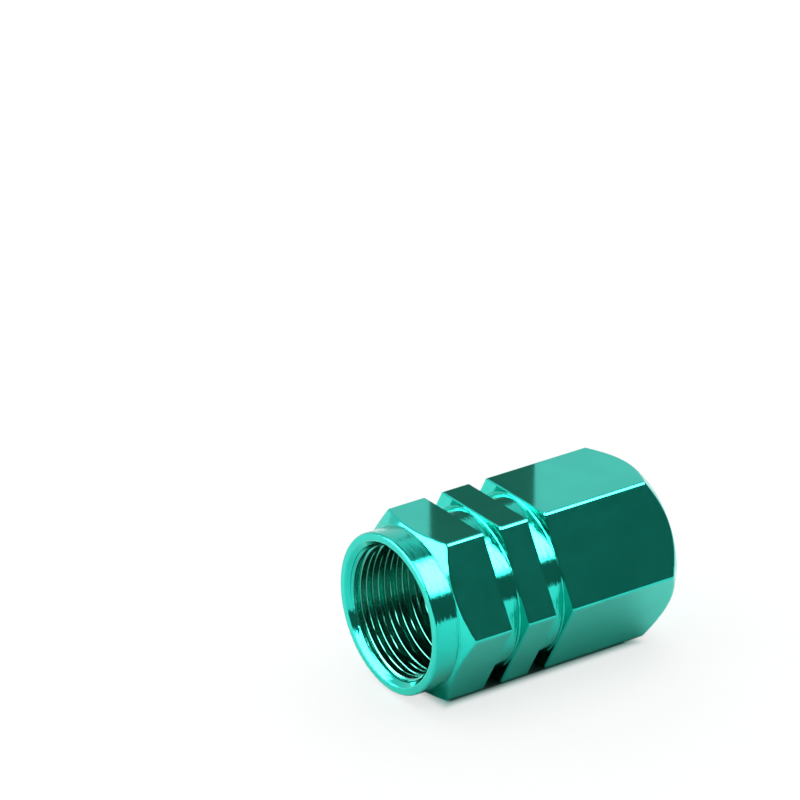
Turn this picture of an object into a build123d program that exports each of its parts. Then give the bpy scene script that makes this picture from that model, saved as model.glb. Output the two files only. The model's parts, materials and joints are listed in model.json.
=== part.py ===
"""Cap for a tyre valve, turned from hexagon bar and lying on one of its flats as it comes to rest.

A round collar and a 30 degree shoulder lead in from the open mouth, two square grooves cut the
hexagon into bands, and a 45 degree chamfer runs round the closed end. The blind bore screws onto
the valve's stem. Its thread is finer than this model, so the thread's wall stands at the major
diameter. Behind it the bare drilled hole holds a flat rubber washer, which seals on the stem's rim.

Millimetres. +X runs along the cap from the mouth to the closed end, +Z is up, and the origin is
under the middle of the cap, on the surface it lies on. Widths and depths are measured outwards or
inwards from the bore's axis, on one side of it.
"""
from build123d import *
import math
import os

# Bore for the valve's stem, which the cap is built round
thread_major_diameter = 7.8
thread_wall_length = 9.0
thread_depth = 0.3
countersink_width = 0.24
countersink_angle = 45.0
countersink_edge_radius = 0.1

# Rubber washer in the bare hole behind the thread
washer_thickness = 1.5
washer_hole_diameter = 3.4
washer_side_clearance = 0.05

# Collar at the mouth
mouth_face_width = 0.46
mouth_edge_radius = 0.15
collar_length = 1.5
collar_root_bevel = 0.05

# Hexagon, with its flats a little higher than the collar
flats_above_collar = 0.15
corner_radius = 0.2
overall_length = 16.22
shoulder_angle = 30.0
shoulder_edge_radius = 0.12

# The two grooves, as deep as the collar, and the band between them
mouth_to_groove = 4.41
groove_width = 1.11
middle_band_width = 1.85
groove_root_bevel = 0.05
band_edge_bevel = 0.07

# Chamfer round the closed end
end_face_inset = 0.2
end_chamfer_angle = 45.0
end_face_edge_radius = 0.4
end_chamfer_edge_radius = 0.2

# Distances from the axis
thread_wall_radius = thread_major_diameter / 2
drilled_radius = thread_wall_radius - thread_depth
washer_radius = drilled_radius - washer_side_clearance
washer_hole_radius = washer_hole_diameter / 2
countersink_radius = thread_wall_radius + countersink_width
collar_radius = countersink_radius + mouth_face_width
groove_floor_radius = collar_radius
flat_distance = collar_radius + flats_above_collar
corner_distance = flat_distance / math.cos(math.radians(30))
end_face_radius = flat_distance - end_face_inset
outside_bar = corner_distance + 1.0

# Distances along the axis
countersink_depth = countersink_width / math.tan(math.radians(countersink_angle))
thread_end = countersink_depth + thread_wall_length
bore_depth = thread_end + washer_thickness
shoulder_run = (outside_bar - collar_radius) * math.tan(math.radians(shoulder_angle))
first_groove = mouth_to_groove
second_groove = first_groove + groove_width + middle_band_width
end_chamfer_run = (outside_bar - end_face_radius) / math.tan(math.radians(end_chamfer_angle))


def turned(profile):
    """Solid turned about the X axis from (distance along it, radius, corner radius) points."""
    outline = [(distance, radius) for distance, radius, rounding in profile]
    section = make_face(Polyline(*outline, close=True))
    for distance, radius, rounding in profile:
        if rounding:
            corner = section.vertices().sort_by_distance((distance, radius, 0))[0]
            section = fillet(corner, rounding)
    return revolve(section, axis=Axis.X)


def groove(start):
    """Points of the turned profile that cut one square groove into the bar."""
    end = start + groove_width
    return [
        (start, outside_bar, 0),
        (start, groove_floor_radius + groove_root_bevel, 0),
        (start + groove_root_bevel, groove_floor_radius, 0),
        (end - groove_root_bevel, groove_floor_radius, 0),
        (end, groove_floor_radius + groove_root_bevel, 0),
        (end, outside_bar, 0),
    ]


def rim_edges(solid, start, end):
    """Edges that cross the bar's flats and corners between two distances from the mouth."""
    found = []
    for edge in solid.edges():
        middle = edge @ 0.5
        on_bar = math.hypot(middle.Y, middle.Z) > flat_distance - 0.01
        across = abs((edge % 0.5).X) < 0.9
        if on_bar and across and start < middle.X < end:
            found.append(edge)
    return found


def make_cap_body():
    hexagon = fillet(RegularPolygon(corner_distance, 6).vertices(), corner_radius)
    bar = extrude(Plane.YZ * hexagon, overall_length)
    shape = bar & turned(
        [
            (0, countersink_radius, countersink_edge_radius),
            (0, collar_radius, mouth_edge_radius),
            (collar_length - collar_root_bevel, collar_radius, 0),
            (collar_length, collar_radius + collar_root_bevel, 0),
            (collar_length + shoulder_run, outside_bar, 0),
        ]
        + groove(first_groove)
        + groove(second_groove)
        + [
            (overall_length - end_chamfer_run, outside_bar, 0),
            (overall_length, end_face_radius, end_face_edge_radius),
            (overall_length, 0, 0),
            (bore_depth, 0, 0),
            (bore_depth, drilled_radius, 0),
            (thread_end, drilled_radius, 0),
            (thread_end, thread_wall_radius, 0),
            (countersink_depth, thread_wall_radius, 0),
        ]
    )
    in_first_band = (collar_length + first_groove) / 2
    in_last_band = (second_groove + groove_width + overall_length) / 2
    shape = fillet(rim_edges(shape, 0, in_first_band), shoulder_edge_radius)
    shape = fillet(rim_edges(shape, in_last_band, overall_length), end_chamfer_edge_radius)
    shape = chamfer(rim_edges(shape, in_first_band, in_last_band), band_edge_bevel)
    return shape


def make_sealing_washer():
    return turned(
        [
            (thread_end, washer_hole_radius, 0),
            (thread_end, washer_radius, 0),
            (bore_depth, washer_radius, 0),
            (bore_depth, washer_hole_radius, 0),
        ]
    )


at_rest = Pos(-overall_length / 2, 0, flat_distance)
nodes = {
    "cap_body": make_cap_body(),
    "sealing_washer": make_sealing_washer(),
}

os.makedirs("parts", exist_ok=True)
for name, shape in nodes.items():
    export_step(at_rest * shape, f"parts/{name}.step")
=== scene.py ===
"""Tyre valve cap, lying on a white table in a small studio.

The cap's solids come from the frame and get their finishes here. The thread is too fine for them,
so it is the one piece made here, as a strip that winds along the wall of the bore. Lengths are in
metres, and +X runs along the cap from its open mouth to its closed end.
"""

import json
import math

import bmesh
import bpy
from mathutils import Matrix, Vector


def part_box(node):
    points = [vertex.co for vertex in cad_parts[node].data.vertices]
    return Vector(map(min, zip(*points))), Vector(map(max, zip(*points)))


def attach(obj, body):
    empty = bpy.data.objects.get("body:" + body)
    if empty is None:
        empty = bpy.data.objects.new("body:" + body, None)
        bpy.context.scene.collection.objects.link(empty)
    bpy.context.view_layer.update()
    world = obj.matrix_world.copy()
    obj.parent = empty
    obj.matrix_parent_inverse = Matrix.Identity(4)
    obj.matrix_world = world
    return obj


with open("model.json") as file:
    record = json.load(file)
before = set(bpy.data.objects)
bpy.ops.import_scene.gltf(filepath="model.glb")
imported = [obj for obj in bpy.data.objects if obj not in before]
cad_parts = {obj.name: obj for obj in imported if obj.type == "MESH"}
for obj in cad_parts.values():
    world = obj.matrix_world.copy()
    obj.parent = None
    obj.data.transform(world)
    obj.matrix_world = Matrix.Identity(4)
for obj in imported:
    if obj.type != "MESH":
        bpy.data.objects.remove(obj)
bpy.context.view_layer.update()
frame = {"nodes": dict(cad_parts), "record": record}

MM = 0.001

# Camera, from a fit to the photograph's own square frame
AIM = Vector((-2.523, 6.730, 13.494)) * MM
AZIMUTH, ELEVATION, ROLL = -34.92, 24.98, -0.31
DISTANCE = 328.85 * MM
LENS, SENSOR_WIDTH = 270.0, 36.0
NEAR_CLIP, FAR_CLIP = 0.01, 10.0

# The cap's own sizes, from the frame: it lies on a flat, and its countersink has 45 degrees
bore = next(mount for mount in frame["record"]["mounts"] if mount["name"] == "valve_thread")
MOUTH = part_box("cap_body")[0].x
AXIS_HEIGHT = bore["pos_m"][2]
WALL_RADIUS = bore["dims"]["r_mm"] * MM
COUNTERSINK_DEPTH = bore["pos_m"][0] - MOUTH
COUNTERSINK_RADIUS = WALL_RADIUS + COUNTERSINK_DEPTH
GROOVE_DEPTH = 0.15 * MM
GROOVE_FLOOR_RADIUS = AXIS_HEIGHT - GROOVE_DEPTH

# Where the thread starts and ends, as distances from the mouth. It comes out of the countersink's
# cone with a slow lead-in, and FIRST_ROOT is where its first root crosses the top of the bore
THREAD_START = 0.12 * MM
THREAD_END = COUNTERSINK_DEPTH + bore["dims"]["length_mm"] * MM
FIRST_ROOT = 0.075 * MM
BEHIND_CONE = 0.005 * MM
LEAD_IN_START = 0.35 * MM
LEAD_IN_RADIUS = 3.80 * MM
LEAD_IN_ANGLE = 15.0

# Thread's profile, with widths along the axis. The flank that faces the mouth is the steeper one,
# and the roots stand clear of the solids' wall
THREAD_PITCH = 0.794 * MM
WALL_GAP = 0.04 * MM
THREAD_DEPTH = 0.13 * MM
ROOT_RADIUS = WALL_RADIUS - WALL_GAP
CREST_RADIUS = ROOT_RADIUS - THREAD_DEPTH
ROOT_HOLLOW = 0.01 * MM
ROOT_WIDTH = 0.12 * MM
FLANK_WIDTH = 0.075 * MM
BACK_FLANK_WIDTH = 0.11 * MM
CREST_BEVEL = 0.015 * MM
STEPS_PER_TURN = 96
MERGE_DISTANCE = 1e-8

# Burr along the back of the crest. It is whole near the mouth, and further in it comes and goes
# with three waves, each given as radians a turn and a phase
BURR_START = 0.50 * MM
BURR_WIDTH = 0.024 * MM
BURR_HEIGHT = 0.028 * MM
BURR_FALL = 0.01 * MM
BURR_WAVES = ((19.0, 0.0), (47.3, 1.0), (83.1, 2.0))
BURR_MEAN, BURR_SWING, BURR_LEAST = 0.45, 0.35, 0.05
BURR_LOSS_PER_TURN = 0.45

# Noises of the finishes, as scale, detail and roughness, and the spread of their values
TURNING_LINES = (1.0, 4.0, 0.6)
METAL_GRAIN = (2500.0, 3.0, 0.6)
DYE_MOTTLE = (300.0, 2.0, 0.5)
RUBBER_MOTTLE = (1800.0, 4.0, 0.6)
TABLE_TOOTH = (900.0, 3.0, 0.6)
CARD_WEAVE = (600.0, 2.0, 0.5)
NOISE_SPREAD = (0.3, 0.7)

# Anodised finish, with a darker, paler green in the thread as painted shade down in the bore. A
# face is turned where its normal leans along the axis, or where it lies hardly above the grooves'
# floor.
# The turning lines are close along the axis and long round it, and a share of the radius gives end
# faces theirs
DEEP_GREEN = (0.021, 0.520, 0.425, 1)
LIGHT_GREEN = (0.024, 0.555, 0.452, 1)
THREAD_PAINTED_SHADE_DEEP_GREEN = (0.06, 0.32, 0.25, 1)
THREAD_PAINTED_SHADE_LIGHT_GREEN = (0.09, 0.40, 0.32, 1)
FLAT_ROUGHNESS = (0.08, 0.11)
TURNED_ROUGHNESS = (0.05, 0.11)
THREAD_ADDED_ROUGHNESS = 0.08
TURNED_LEAN = 0.15
TURNED_MARGIN = 0.08 * MM
LINES_ALONG, LINES_ROUND = 5000.0, 500.0
LINES_ON_END_FACES = 0.6
LINES_BUMP = 0.027 * MM
GRAIN_BUMP = 0.0004 * MM

# Rubber of the washer
RUBBER_DARK = (0.018, 0.018, 0.018, 1)
RUBBER_LIGHT = (0.034, 0.034, 0.033, 1)
RUBBER_ROUGHNESS = (0.55, 0.75)
RUBBER_BUMP = 0.02 * MM

# Table. The contact shadow's edge and the fade to white beyond it are given along and across the
# cap, and the table is painted dark where the cap covers it, as painted shade, so the grooves are
# black underneath
TABLE_SIZE = 4.0
TABLE_DARK = (0.92, 0.92, 0.92, 1)
TABLE_LIGHT = (0.94, 0.94, 0.94, 1)
TABLE_PAINTED_SHADE_UNDER_CAP = (0.08, 0.08, 0.08, 1)
TABLE_ROUGHNESS = (0.6, 0.7)
CONTACT_FADES = ((5.8 * MM, 1.3 * MM), (2.7 * MM, 0.9 * MM))
PAINTED_SHADE_FADE = 0.2 * MM
SHADOW_SEEN = 0.25

# Dark card that stands behind the cap and shows only in its polish
CARD_FOOT = ((1.9 * MM, 10.2 * MM), (8.4 * MM, 9.1 * MM))
CARD_BOTTOM, CARD_TOP = 11.5 * MM, 19.0 * MM
CARD_DARK = (0.01, 0.02, 0.015, 1)
CARD_LIGHT = (0.02, 0.03, 0.025, 1)
CARD_GLOW_DARK = (0.028, 0.070, 0.047, 1)
CARD_GLOW_LIGHT = (0.032, 0.080, 0.053, 1)

# Room that the polish mirrors, where 1 is white. Its edges are values of a direction's y or z
WHITE = (1, 1, 1, 1)
BACKDROP = (0.93, 0.93, 0.93, 1)
DARK_SIDE = (0.140, 0.148, 0.128, 1)
CEILING = (0.6, 0.6, 0.6, 1)
BACKDROP_EDGE = (-0.16, -0.04)
BACKDROP_TOP = (0.79, 0.83)
CEILING_EDGE = (0.88, 0.95)

# Key softbox, with its half sizes and the blur of its edge as tangents of angles
KEY_STRENGTH = 20.0
KEY_CENTRE = (0.519, -0.388, 0.762)
KEY_LENGTH_WAY = (-0.29, -0.92, -0.27)
KEY_HALF_LENGTH, KEY_HALF_WIDTH = 0.40, 0.20
KEY_BLUR = 0.06
LEAST_AHEAD = 0.02

# Left softbox, with its edges as values of a direction's x, y or z. The far low corner is cut
# off where x is beyond its side and y + z is under its top
LEFT_STRENGTH = 12.0
LEFT_SIDE = (-0.56, -0.46)
LEFT_FRONT = (-0.36, -0.33)
LEFT_BOTTOM = (0.07, 0.11)
LEFT_TOP = (0.68, 0.74)
LEFT_CORNER_SIDE = (-0.94, -0.90)
LEFT_CORNER_TOP = (0.26, 0.32)

# Overhead softbox, which lights the table
OVERHEAD_PLACE = (0.05, 0.30, 0.8)
OVERHEAD_SIZE = 2.4
OVERHEAD_POWER = 28.5


class Nodes:
    """Short calls that add nodes to one node tree, where a value is a socket or a constant."""

    def __init__(self, tree):
        self.tree = tree

    def add(self, kind, **settings):
        node = self.tree.nodes.new(kind)
        for name, value in settings.items():
            setattr(node, name, value)
        return node

    def put(self, socket, value):
        if isinstance(value, bpy.types.NodeSocket):
            self.tree.links.new(value, socket)
        else:
            socket.default_value = value

    def math(self, operation, *values):
        node = self.add("ShaderNodeMath", operation=operation)
        for socket, value in zip(node.inputs, values):
            self.put(socket, value)
        return node.outputs[0]

    def product(self, first, *others):
        for other in others:
            first = self.math("MULTIPLY", first, other)
        return first

    def dot(self, a, b):
        node = self.add("ShaderNodeVectorMath", operation="DOT_PRODUCT")
        self.put(node.inputs[0], a)
        self.put(node.inputs[1], b)
        return node.outputs["Value"]

    def ramp(self, value, low, high, to_low=0.0, to_high=1.0):
        node = self.add("ShaderNodeMapRange", interpolation_type="SMOOTHSTEP")
        for name, given in zip(("Value", "From Min", "From Max", "To Min", "To Max"),
                               (value, low, high, to_low, to_high)):
            self.put(node.inputs[name], given)
        return node.outputs["Result"]

    def rise(self, value, edges):
        """0 below both edges, 1 above them."""
        return self.ramp(value, *edges)

    def fall(self, value, edges):
        """1 below both edges, 0 above them."""
        return self.ramp(value, *edges, 1.0, 0.0)

    def mix(self, factor, a, b, data_type="RGBA"):
        node = self.add("ShaderNodeMix", data_type=data_type)
        self.put(node.inputs["Factor"], factor)
        self.put(node.inputs["A"], a)
        self.put(node.inputs["B"], b)
        return node.outputs["Result"]

    def noise(self, vector, scale, detail, roughness):
        node = self.add("ShaderNodeTexNoise")
        self.put(node.inputs["Vector"], vector)
        self.put(node.inputs["Scale"], scale)
        self.put(node.inputs["Detail"], detail)
        self.put(node.inputs["Roughness"], roughness)
        return node.outputs["Fac"]

    def combine(self, x, y, z):
        node = self.add("ShaderNodeCombineXYZ")
        for socket, value in zip(node.inputs, (x, y, z)):
            self.put(socket, value)
        return node.outputs[0]

    def separate(self, vector):
        node = self.add("ShaderNodeSeparateXYZ")
        self.put(node.inputs[0], vector)
        return node.outputs

    def bump(self, height, distance, normal=None):
        node = self.add("ShaderNodeBump")
        self.put(node.inputs["Height"], height)
        self.put(node.inputs["Distance"], distance)
        if normal is not None:
            self.put(node.inputs["Normal"], normal)
        return node.outputs[0]


def material(name):
    """New material, the calls that add its nodes, and its shader."""
    made = bpy.data.materials.new(name)
    made.use_nodes = True
    return made, Nodes(made.node_tree), made.node_tree.nodes["Principled BSDF"]


def add_object(name, data):
    """New object in the scene, made of a mesh, a lamp's data or a camera's."""
    made = bpy.data.objects.new(name, data)
    bpy.context.scene.collection.objects.link(made)
    return made


def make_anodised():
    """Polished green aluminium: turning lines on the turned faces, a finer grain on the flats, and
    a darker green in the thread as painted shade.
    """
    made, n, shader = material("green_anodised_aluminium")
    shader.inputs["Metallic"].default_value = 1.0
    place = n.add("ShaderNodeTexCoord").outputs["Object"]
    normal = n.add("ShaderNodeNewGeometry").outputs["True Normal"]
    x, y, z = n.separate(place)
    up = n.math("SUBTRACT", z, AXIS_HEIGHT)
    radius = n.math("SQRT", n.math("ADD", n.product(y, y), n.product(up, up)))

    lean = n.math("ABSOLUTE", n.separate(normal)[0])
    below_flats = n.math("LESS_THAN", radius, GROOVE_FLOOR_RADIUS + TURNED_MARGIN)
    turned = n.math("MAXIMUM", n.math("GREATER_THAN", lean, TURNED_LEAN), below_flats)
    mouth_half = n.math("LESS_THAN", x, 0.0)
    thread_roughness_and_painted_shade = n.product(n.math("LESS_THAN", radius, LEAD_IN_RADIUS), mouth_half)

    along = n.math("ADD", x, n.product(radius, LINES_ON_END_FACES))
    rings = n.combine(
        n.product(along, LINES_ALONG),
        n.product(y, LINES_ROUND),
        n.product(up, LINES_ROUND),
    )
    lines = n.noise(rings, *TURNING_LINES)
    grain = n.noise(place, *METAL_GRAIN)
    mottle = n.rise(n.noise(place, *DYE_MOTTLE), NOISE_SPREAD)

    outside = n.mix(mottle, DEEP_GREEN, LIGHT_GREEN)
    # Darker, paler green in the thread: painted shade down in the bore
    inside = n.mix(mottle, THREAD_PAINTED_SHADE_DEEP_GREEN, THREAD_PAINTED_SHADE_LIGHT_GREEN)
    n.put(shader.inputs["Base Color"], n.mix(thread_roughness_and_painted_shade, outside, inside))
    on_flats = n.ramp(grain, *NOISE_SPREAD, *FLAT_ROUGHNESS)
    on_turned = n.ramp(lines, *NOISE_SPREAD, *TURNED_ROUGHNESS)
    on_turned = n.math("ADD", on_turned, n.product(thread_roughness_and_painted_shade, THREAD_ADDED_ROUGHNESS))
    n.put(shader.inputs["Roughness"], n.mix(turned, on_flats, on_turned, "FLOAT"))
    turned_normal = n.bump(n.product(lines, below_flats), LINES_BUMP)
    n.put(shader.inputs["Normal"], n.bump(grain, GRAIN_BUMP, turned_normal))
    return made


def make_rubber():
    """Matt black rubber with a faint mottle from its mould."""
    made, n, shader = material("black_rubber")
    place = n.add("ShaderNodeTexCoord").outputs["Object"]
    mottle = n.noise(place, *RUBBER_MOTTLE)
    n.put(shader.inputs["Base Color"], n.mix(mottle, RUBBER_DARK, RUBBER_LIGHT))
    n.put(shader.inputs["Roughness"], n.ramp(mottle, *NOISE_SPREAD, *RUBBER_ROUGHNESS))
    n.put(shader.inputs["Normal"], n.bump(mottle, RUBBER_BUMP))
    return made


def burr_height(turns):
    """Height of the burr at a number of turns past the first root's crossing of the top."""
    wave = sum(math.sin(turns * rate + phase) for rate, phase in BURR_WAVES)
    whole = max(1.0 - BURR_LOSS_PER_TURN * abs(turns), 0.0)
    share = BURR_MEAN + BURR_SWING * wave + whole
    return BURR_HEIGHT * min(max(share, BURR_LEAST), 1.0)


def thread_profile(turns):
    """(distance from a root's middle, radius) points along the axis, from one root to the next."""
    start, end = ROOT_WIDTH / 2, THREAD_PITCH - ROOT_WIDTH / 2
    raised = CREST_RADIUS - burr_height(turns)
    return [
        (0.0, ROOT_RADIUS + ROOT_HOLLOW),
        (start, ROOT_RADIUS),
        (start + FLANK_WIDTH - CREST_BEVEL, CREST_RADIUS + CREST_BEVEL),
        (start + FLANK_WIDTH, CREST_RADIUS),
        (BURR_START, CREST_RADIUS),
        (BURR_START + BURR_WIDTH, raised),
        (end - BACK_FLANK_WIDTH, raised + BURR_FALL),
        (end, ROOT_RADIUS),
        (THREAD_PITCH, ROOT_RADIUS + ROOT_HOLLOW),
    ]


def least_radius(distance):
    """Radius of the opening at a distance from the mouth: the cone, then the lead-in."""
    cone = COUNTERSINK_RADIUS + BEHIND_CONE - distance
    if distance <= LEAD_IN_START:
        return cone
    slope = math.tan(math.radians(LEAD_IN_ANGLE))
    return max(cone, LEAD_IN_RADIUS - (distance - LEAD_IN_START) * slope)


def thread_row(turns):
    """Points of the profile at a number of turns past the first root's crossing of the top."""
    angle = 2 * math.pi * turns
    points = []
    for along, radius in thread_profile(turns):
        distance = FIRST_ROOT + THREAD_PITCH * turns + along
        distance = min(max(distance, THREAD_START), THREAD_END)
        if distance < THREAD_END:
            radius = max(radius, least_radius(distance))
        else:
            radius = ROOT_RADIUS
        points.append((
            MOUTH + distance,
            -radius * math.sin(angle),
            AXIS_HEIGHT + radius * math.cos(angle),
        ))
    return points


def make_thread(finish):
    """Right-hand thread as one strip, whose points past either end are drawn in to it."""
    mesh = bmesh.new()
    turns = int(THREAD_END / THREAD_PITCH) + 2
    rows = []
    for step in range(-STEPS_PER_TURN, turns * STEPS_PER_TURN + 1):
        rows.append([mesh.verts.new(point) for point in thread_row(step / STEPS_PER_TURN)])
    for a, b in zip(rows, rows[1:]):
        for j in range(len(a) - 1):
            mesh.faces.new((a[j], a[j + 1], b[j + 1], b[j]))
    bmesh.ops.remove_doubles(mesh, verts=mesh.verts, dist=MERGE_DISTANCE)
    bmesh.ops.recalc_face_normals(mesh, faces=mesh.faces)
    data = bpy.data.meshes.new("valve_thread")
    mesh.to_mesh(data)
    mesh.free()
    data.materials.append(finish)
    piece = add_object("valve_thread", data)
    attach(piece, "root")


def dress(node, finish):
    """Gives one of the solids its finish."""
    data = frame["nodes"][node].data
    data.materials.clear()
    data.materials.append(finish)


def make_table():
    """White table that fades to plain white for the camera outside the cap's contact shadow, with
    painted shade where the cap covers it.
    """
    made, n, shader = material("white_table")
    place = n.add("ShaderNodeTexCoord").outputs["Object"]
    tooth = n.noise(place, *TABLE_TOOTH)
    n.put(shader.inputs["Roughness"], n.ramp(tooth, *NOISE_SPREAD, *TABLE_ROUGHNESS))
    beyond, painted_shade_under_cap = 0.0, 1.0
    for side, (edge, fade) in zip(n.separate(place), CONTACT_FADES):
        away = n.math("ABSOLUTE", side)
        beyond = n.math("MAXIMUM", beyond, n.rise(away, (edge, edge + fade)))
        painted_shade_under_cap = n.product(painted_shade_under_cap, n.fall(away, (edge, edge + PAINTED_SHADE_FADE)))
    open_colour = n.mix(tooth, TABLE_DARK, TABLE_LIGHT)
    # Painted shade: the table's colour is dark where the cap covers it
    n.put(shader.inputs["Base Color"], n.mix(painted_shade_under_cap, open_colour, TABLE_PAINTED_SHADE_UNDER_CAP))

    to_camera = n.add("ShaderNodeLightPath").outputs["Is Camera Ray"]
    white_share = n.product(to_camera, n.product(beyond, 1.0 - SHADOW_SEEN))
    white = n.add("ShaderNodeEmission")
    both = n.add("ShaderNodeMixShader")
    n.put(both.inputs["Fac"], white_share)
    n.put(both.inputs[1], shader.outputs[0])
    n.put(both.inputs[2], white.outputs[0])
    n.put(made.node_tree.nodes["Material Output"].inputs["Surface"], both.outputs[0])

    bpy.ops.mesh.primitive_plane_add(size=TABLE_SIZE, location=(0, 0, 0))
    table = bpy.context.object
    table.name = "table"
    table.data.materials.append(made)


def make_card():
    """Dark card that neither the camera nor the table sees."""
    made, n, shader = material("dark_card")
    place = n.add("ShaderNodeTexCoord").outputs["Object"]
    weave = n.noise(place, *CARD_WEAVE)
    n.put(shader.inputs["Base Color"], n.mix(weave, CARD_DARK, CARD_LIGHT))
    n.put(shader.inputs["Emission Color"], n.mix(weave, CARD_GLOW_DARK, CARD_GLOW_LIGHT))
    shader.inputs["Emission Strength"].default_value = 1.0
    mesh = bpy.data.meshes.new("dark_card")
    corners = [(x, y, z) for z in (CARD_BOTTOM, CARD_TOP) for x, y in CARD_FOOT]
    mesh.from_pydata(corners, [], [(0, 1, 3, 2)])
    mesh.materials.append(made)
    card = add_object("dark_card", mesh)
    card.visible_camera = False
    card.visible_diffuse = False
    card.visible_shadow = False


def key_softbox(n, direction):
    """1 where a direction meets the key softbox, 0 elsewhere."""
    centre = Vector(KEY_CENTRE).normalized()
    long_axis = Vector(KEY_LENGTH_WAY)
    long_axis = (long_axis - long_axis.dot(centre) * centre).normalized()
    short_axis = centre.cross(long_axis)
    ahead = n.math("MAXIMUM", n.dot(direction, centre), LEAST_AHEAD)
    inside = []
    for axis, half_size in ((long_axis, KEY_HALF_LENGTH), (short_axis, KEY_HALF_WIDTH)):
        tangent = n.math("ABSOLUTE", n.math("DIVIDE", n.dot(direction, axis), ahead))
        inside.append(n.fall(tangent, (half_size - KEY_BLUR, half_size + KEY_BLUR)))
    return n.product(*inside)


def left_softbox(n, x, y, z):
    """1 where a direction meets the left softbox, 0 elsewhere."""
    corner = n.product(
        n.fall(x, LEFT_CORNER_SIDE),
        n.fall(n.math("ADD", y, z), LEFT_CORNER_TOP),
    )
    return n.product(
        n.fall(x, LEFT_SIDE),
        n.rise(y, LEFT_FRONT),
        n.rise(z, LEFT_BOTTOM),
        n.fall(z, LEFT_TOP),
        n.math("SUBTRACT", 1.0, corner),
    )


def make_room():
    """What the polish mirrors: a pale backdrop, a dark side, a ceiling and two softboxes.

    The camera sees plain white instead, and matt surfaces aren't lit by it.
    """
    world = bpy.data.worlds.new("studio")
    world.use_nodes = True
    world.cycles_visibility.diffuse = False
    bpy.context.scene.world = world
    n = Nodes(world.node_tree)
    direction = n.add("ShaderNodeTexCoord").outputs["Generated"]
    x, y, z = n.separate(direction)
    behind = n.product(n.rise(y, BACKDROP_EDGE), n.fall(z, BACKDROP_TOP))
    walls = n.mix(behind, DARK_SIDE, BACKDROP)
    room = n.mix(n.rise(z, CEILING_EDGE), walls, CEILING)
    key = n.product(key_softbox(n, direction), KEY_STRENGTH)
    left = n.product(left_softbox(n, x, y, z), LEFT_STRENGTH)
    added = n.math("ADD", key, left)
    total = n.add("ShaderNodeVectorMath", operation="ADD")
    n.put(total.inputs[0], room)
    n.put(total.inputs[1], n.combine(added, added, added))
    to_camera = n.add("ShaderNodeLightPath").outputs["Is Camera Ray"]
    background = world.node_tree.nodes["Background"]
    n.put(background.inputs["Color"], n.mix(to_camera, total.outputs[0], WHITE))
    background.inputs["Strength"].default_value = 1.0


def hang_overhead_softbox():
    """Soft light from above that the polish doesn't mirror."""
    data = bpy.data.lights.new("overhead_softbox", "AREA")
    data.shape = "SQUARE"
    data.size = OVERHEAD_SIZE
    data.energy = OVERHEAD_POWER
    softbox = add_object("overhead_softbox", data)
    place = Vector(OVERHEAD_PLACE)
    facing = place.to_track_quat("Z", "Y").to_matrix().to_4x4()
    softbox.matrix_world = Matrix.Translation(place) @ facing
    softbox.visible_glossy = False
    softbox.visible_camera = False


def look_at_photo_angle():
    """Camera at the photograph's viewing angle."""
    data = bpy.data.cameras.new("camera")
    data.lens = LENS
    data.sensor_width = SENSOR_WIDTH
    data.clip_start = NEAR_CLIP
    data.clip_end = FAR_CLIP
    camera = add_object("camera", data)
    a, e = math.radians(AZIMUTH), math.radians(ELEVATION)
    back = Vector((math.sin(a) * math.cos(e), -math.cos(a) * math.cos(e), math.sin(e)))
    facing = (-back).to_track_quat("-Z", "Y").to_matrix()
    turn = facing @ Matrix.Rotation(math.radians(ROLL), 3, "Z")
    camera.matrix_world = Matrix.Translation(AIM + back * DISTANCE) @ turn.to_4x4()
    bpy.context.scene.camera = camera


anodised = make_anodised()
dress("cap_body", anodised)
dress("sealing_washer", make_rubber())
make_thread(anodised)
make_table()
make_card()
make_room()
hang_overhead_softbox()
look_at_photo_angle()
bpy.context.scene.view_settings.view_transform = "Standard"
